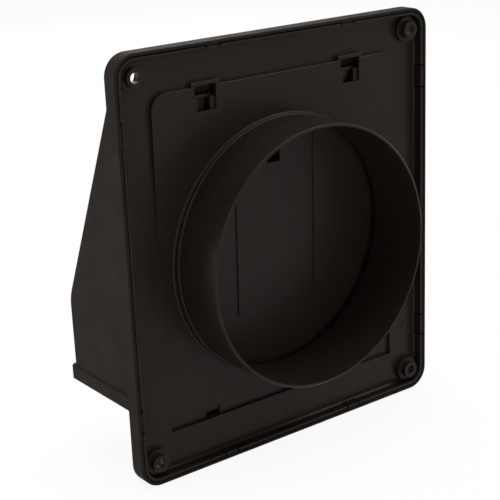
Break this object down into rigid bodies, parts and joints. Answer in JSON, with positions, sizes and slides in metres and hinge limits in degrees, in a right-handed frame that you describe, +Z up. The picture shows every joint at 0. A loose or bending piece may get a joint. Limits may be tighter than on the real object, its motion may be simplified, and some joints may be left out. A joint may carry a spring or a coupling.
{
  "type": "hooded wall vent",
  "caption": "Wall vent with a sloping hood open at the bottom, a round duct spigot at the back and a gravity back-draught flap behind the hood.",
  "frame": {"origin": "on the spigot's axis, in the plane of the wall that the skirt's back edge rests on", "axes": "+X to the right seen from the front, +Y along the spigot into the wall, +Z up; the hood faces -Y"},
  "size_m": [0.215, 0.1024, 0.24],
  "materials": {
    "cowl_plastic": "dark brown moulded plastic, fine satin",
    "back_plastic": "dark brown moulded plastic, fine satin",
    "flap_plastic": "dark brown moulded plastic, fine satin"
  },
  "bodies": {
    "housing": {"cowl": "cowl_plastic", "back_plate": "back_plastic"},
    "flap": {"flap": "flap_plastic"}
  },
  "joints": [
    {"name": "flap_hinge", "type": "hinge", "parent": "housing", "child": "flap", "pos_m": [0, -0.0084, 0.09262], "axis": [-1, 0, 0], "range_deg": [0, 16]}
  ]
}
